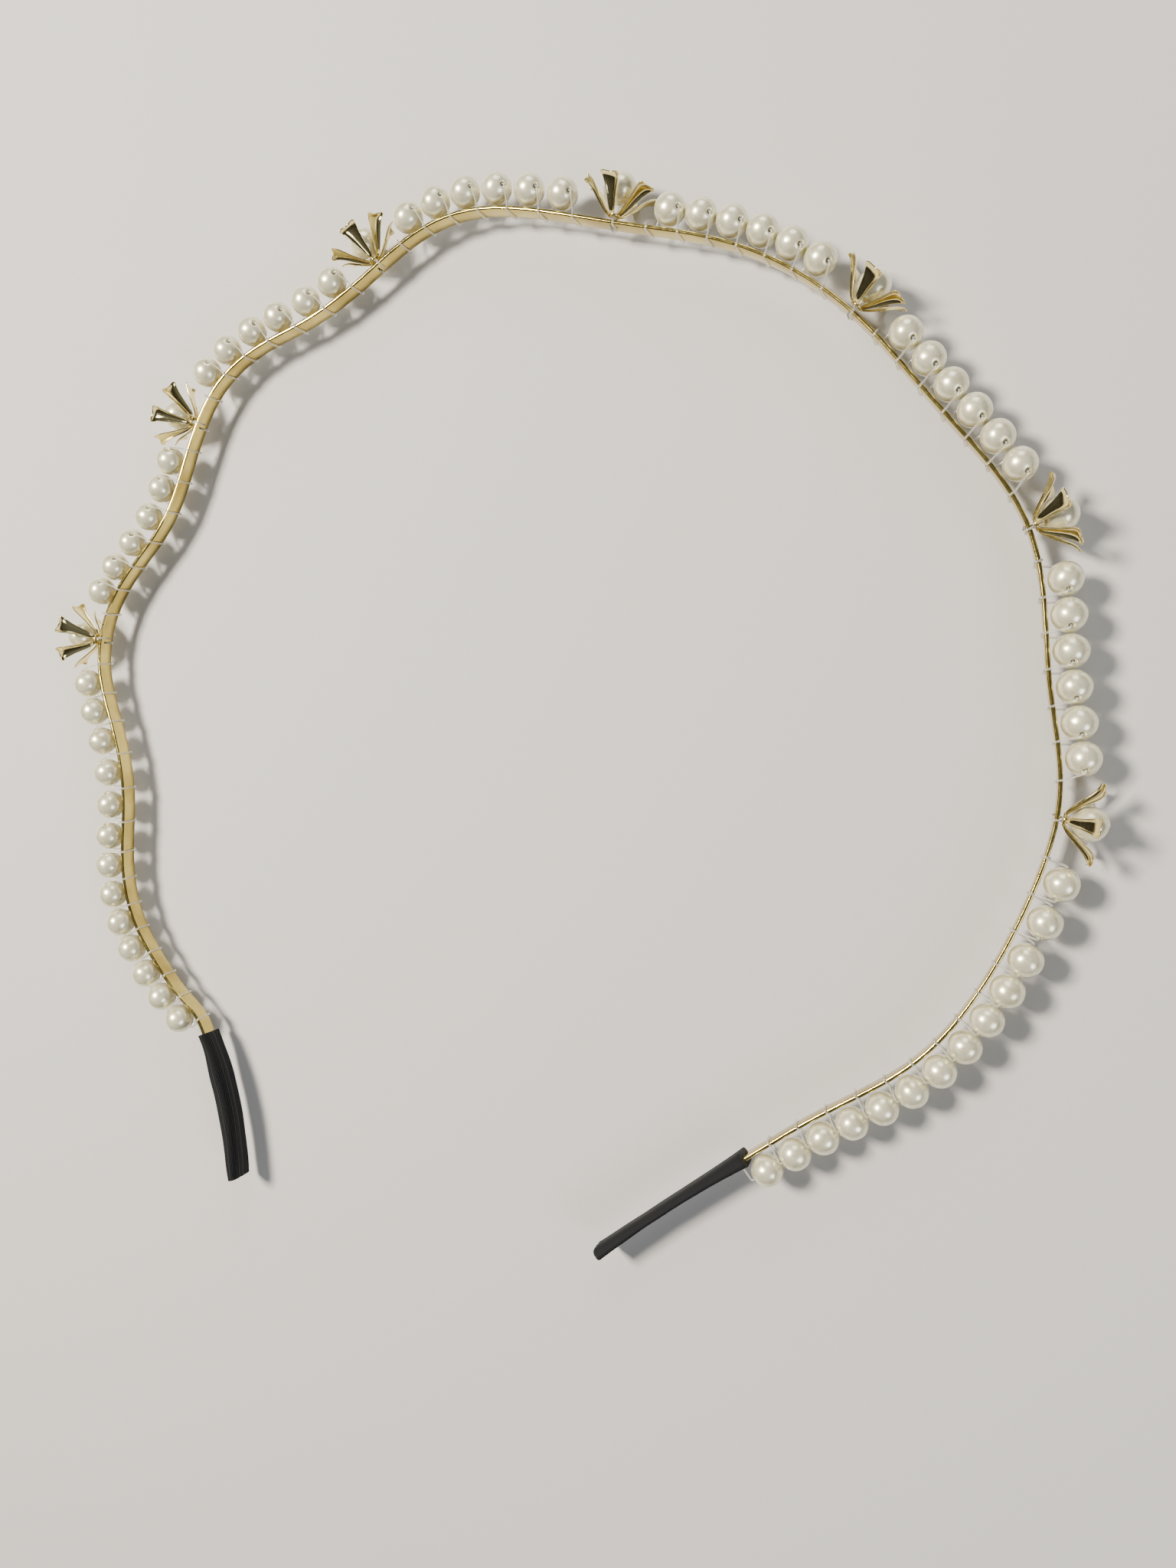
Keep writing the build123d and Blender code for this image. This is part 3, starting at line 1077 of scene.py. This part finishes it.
@dataclass
class Sleeve:
    """A ribbed fabric tube pulled over one tip of the strip."""

    side: str
    form: SleeveForm
    course: Course
    finishes: Finishes
    width: float = 4.6 * MM
    thickness: float = 1.6 * MM
    squareness: float = 0.6
    past_tip: float = 1.0 * MM
    ribs: int = 30
    points_per_rib: int = 6
    rib_depth: float = 0.12 * MM
    end_swing: float = 0.35 * MM
    unevenness: float = 0.1
    uneven_spots: float = 5.0
    pace: float = 0.4 * MM
    uv_step: float = 0.1

    def outline(self) -> list[tuple[float, float]]:
        """The tube's section: a flat oval with a rib every few points."""
        points = []
        count = self.ribs * self.points_per_rib
        for i in range(count):
            angle = 2 * math.pi * i / count
            rib = self.rib_depth * (0.5 - 0.5 * math.cos(self.ribs * angle))
            x, y = (math.copysign(abs(v) ** self.squareness, v) for v in (math.cos(angle), math.sin(angle)))
            points.append((x * (self.thickness / 2 - rib), y * (self.width / 2 - rib)))
        return points

    def station(self, share: float) -> Matrix:
        """The frame of the tube's section, with its swelling, at a share of the way from tip to mouth."""
        left = self.side == "left"
        form = self.form
        inwards = share * form.length - self.past_tip
        distance = inwards if left else self.course.length - inwards
        on_strip = min(max(distance, 0.0), self.course.length)
        tangent, outwards = self.course.directions(on_strip)
        middle = math.sin(math.pi * share)
        origin = self.course.spot(on_strip) + tangent * (distance - on_strip)
        origin += outwards * (self.end_swing * (1 - share) ** 2 - form.bulge * middle)
        where = Vector((share * self.uneven_spots, 0.0, form.unevenness_place))
        waver = 1 + self.unevenness * noise.noise(where)
        plump = form.fullness + form.plumpness * middle + form.mouth_flare * share**form.mouth_power
        scale = Matrix.Diagonal((waver * plump, waver, 1.0, 1.0))
        return frame_at(origin, tangent if left else -tangent, outwards) @ scale

    def build(self) -> None:
        """Sweeps the section from past the tip to the sleeve's mouth."""
        count = int(self.form.length / self.pace)
        shape = bmesh.new()
        rings = sweep(shape, self.outline(), [self.station(i / count) for i in range(count + 1)])
        self._unwrap(shape, rings)
        name = f"fabric_sleeve_{self.side}"
        node = f"sleeve_{self.side}"
        finish_piece(name, shape, self.finishes.sleeve, "headband", node)

    def _unwrap(self, shape: bmesh.types.BMesh, rings: list[list[bmesh.types.BMVert]]) -> None:
        """Lays a UV map over the tube: millimetres along it and a step for each point round it."""
        layer = shape.loops.layers.uv.new("UVMap")
        place = {}
        for i, ring in enumerate(rings):
            for j, vert in enumerate(ring):
                place[vert] = (i * self.pace / MM, j * self.uv_step)
        for face in shape.faces:
            for loop in face.loops:
                loop[layer].uv = place[loop.vert]


# --- Stage ----------------------------------------------------------------------------------------


@dataclass(frozen=True)
class SoftLight:
    """A square soft light that points at the headband's middle."""

    name: str
    place: tuple[float, float, float]
    size: float
    power: float
    colour: str

    def build(self) -> None:
        """Builds the light."""
        lamp = bpy.data.lights.new(self.name, "AREA")
        lamp.size = self.size
        lamp.energy = self.power
        lamp.color = linear(self.colour)[:3]
        light = bpy.data.objects.new(self.name, lamp)
        bpy.context.scene.collection.objects.link(light)
        light.location = self.place
        light.rotation_euler = (-Vector(self.place)).to_track_quat("-Z", "Y").to_euler()


@dataclass
class Stage:
    """Pale floor, soft lights and the camera."""

    eye_mm: tuple[float, float, float] = (62.38, -5.94, 164.23)
    target_mm: tuple[float, float, float] = (10.72, -10.25, 5.29)
    roll: float = math.radians(-0.478)
    lens: float = 35.86
    sensor: float = 36.0
    nearest: float = 0.005
    floor_half: float = 1.5
    floor_colour: str = "c9c7c2"
    floor_roughness: float = 0.9
    surround_strength: float = 0.38
    lights: tuple[SoftLight, ...] = (
        SoftLight("key", (-0.28, 0.14, 0.52), 0.13, 9.0, "fff6ea"),
        SoftLight("fill", (0.45, -0.30, 0.38), 0.25, 1.6, "f2f5ff"),
        SoftLight("back", (0.10, 0.55, 0.30), 0.30, 1.2, "ffffff"),
    )

    def build(self) -> None:
        """Builds the floor, lights, background and camera."""
        self._floor()
        for light in self.lights:
            light.build()
        self._world()
        self._camera()

    def _floor(self) -> None:
        """Builds the floor."""
        shape = bmesh.new()
        bmesh.ops.create_grid(shape, x_segments=1, y_segments=1, size=self.floor_half)
        mesh = bpy.data.meshes.new("floor")
        shape.to_mesh(mesh)
        shape.free()
        floor = bpy.data.objects.new("floor", mesh)
        bpy.context.scene.collection.objects.link(floor)
        material, _, shader = new_material("pale_floor")
        shader.inputs["Base Color"].default_value = linear(self.floor_colour)
        shader.inputs["Roughness"].default_value = self.floor_roughness
        mesh.materials.append(material)

    def _world(self) -> None:
        """Sets a plain grey surround, darker low down, so that polished metal has something to mirror."""
        world = bpy.data.worlds.new("surround")
        bpy.context.scene.world = world
        world.use_nodes = True
        tree = world.node_tree
        tree.nodes.clear()
        way = add_node(tree, "ShaderNodeTexCoord").outputs["Generated"]
        height = add_node(tree, "ShaderNodeSeparateXYZ", {"Vector": way}).outputs["Z"]
        colour = colour_ramp(tree, height, [(0.0, "2b2a28"), (0.35, "6b6a68"), (1.0, "b9bcc2")])
        ground = add_node(tree, "ShaderNodeBackground", {"Color": colour, "Strength": self.surround_strength})
        add_node(tree, "ShaderNodeOutputWorld", {"Surface": ground.outputs["Background"]})

    def _camera(self) -> None:
        """Places the camera."""
        data = bpy.data.cameras.new("camera")
        data.lens = self.lens
        data.sensor_fit = "HORIZONTAL"
        data.sensor_width = self.sensor
        data.clip_start = self.nearest
        camera = bpy.data.objects.new("camera", data)
        bpy.context.scene.collection.objects.link(camera)
        eye, target = (Vector(p) * MM for p in (self.eye_mm, self.target_mm))
        aim = (target - eye).normalized()
        right = aim.cross(Vector((0.0, 1.0, 0.0))).normalized()
        matrix = Matrix((right, right.cross(aim), -aim)).transposed().to_4x4()
        camera.matrix_world = Matrix.Translation(eye) @ matrix @ Matrix.Rotation(self.roll, 4, "Z")
        bpy.context.scene.camera = camera


FLOWER_TURNS = (45.0, 15.0, 30.0, 30.0, 28.0, 20.0, 30.0)


def main() -> None:
    """Builds the headband and its stage, in order."""
    logging.basicConfig(level=logging.INFO, format="%(name)s %(message)s")
    finishes = Finishes.build()
    course = Course()
    Strip(course, finishes).build()
    maker = PearlMaker(finishes)
    rows = PearlRows(course, maker)
    rows.build()
    threads = Threads(course, rows, finishes)
    threads.build()
    for number, turn in enumerate(FLOWER_TURNS, start=1):
        Flower(number, math.radians(turn), course, maker, threads, finishes).build()
    Sleeve("left", LEFT_FORM, course, finishes).build()
    Sleeve("right", RIGHT_FORM, course, finishes).build()
    Stage().build()


if __name__ == "__main__":
    main()
